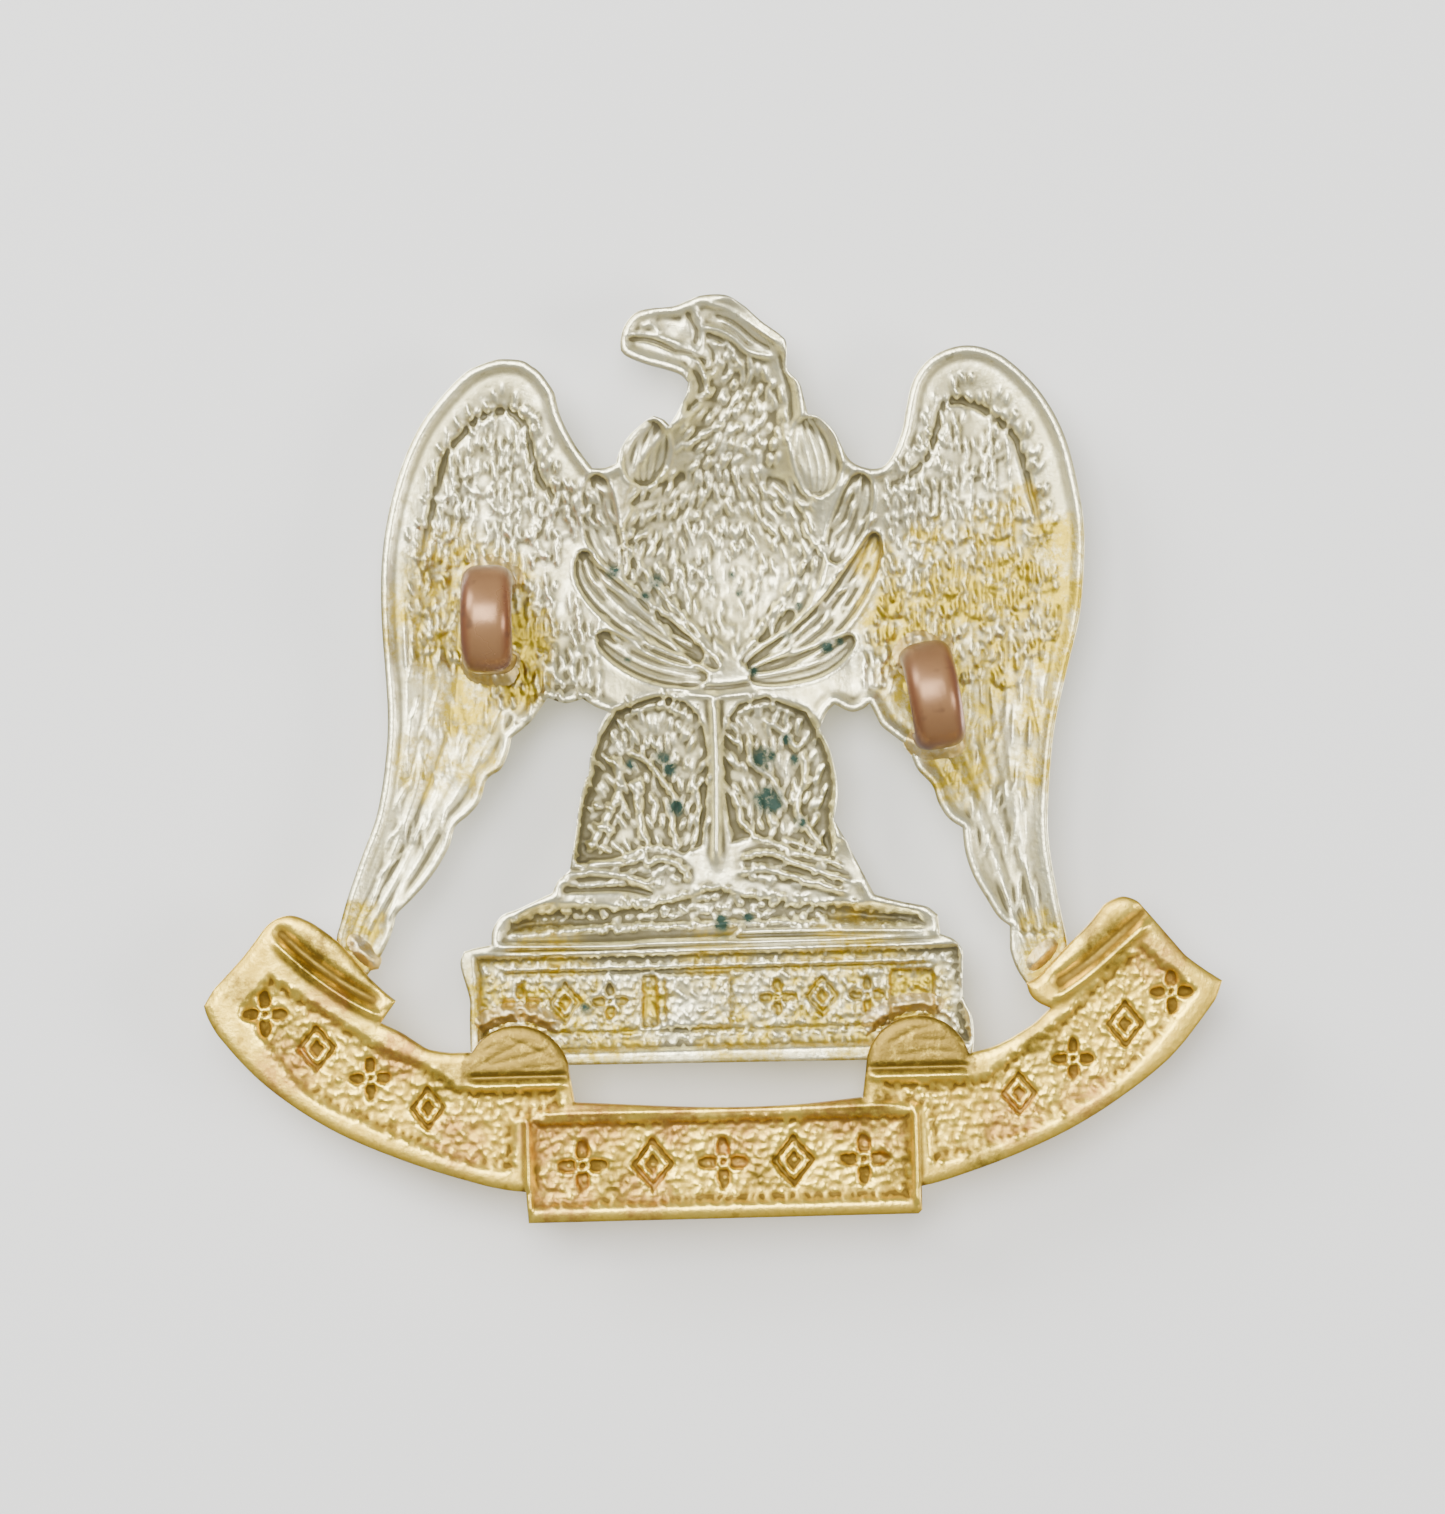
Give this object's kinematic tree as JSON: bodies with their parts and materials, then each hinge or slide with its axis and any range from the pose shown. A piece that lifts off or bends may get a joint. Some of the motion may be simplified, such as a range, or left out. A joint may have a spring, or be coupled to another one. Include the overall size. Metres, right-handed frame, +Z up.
{
  "type": "cap badge",
  "caption": "Two-metal cap badge: a struck eagle with open wings standing on a tablet over a folded scroll, with soldered copper loops on the back.",
  "frame": {"origin": "midway between the two loops, in the plane of the badge's rearmost flat faces", "axes": "+X to the right when the back is looked at, +Y towards the badge's face, +Z up towards the eagle's head; the loops point to -Y"},
  "size_m": [0.052, 0.0098, 0.0472],
  "materials": {
    "white_metal": "struck nickel silver with a warm tarnish",
    "gilding_metal": "struck gilding metal, lightly tarnished",
    "copper": "drawn copper, worn satin",
    "solder": "dull soft solder with flux stain"
  },
  "bodies": {
    "root": {"eagle": "white_metal", "scroll": "gilding_metal", "loop_left": "copper", "loop_right": "copper", "solder_loop_left_upper": "solder", "solder_loop_left_lower": "solder", "solder_loop_right_upper": "solder", "solder_loop_right_lower": "solder", "solder_tab_left": "solder", "solder_tab_right": "solder", "solder_tip_left": "solder", "solder_tip_right": "solder"}
  },
  "joints": []
}
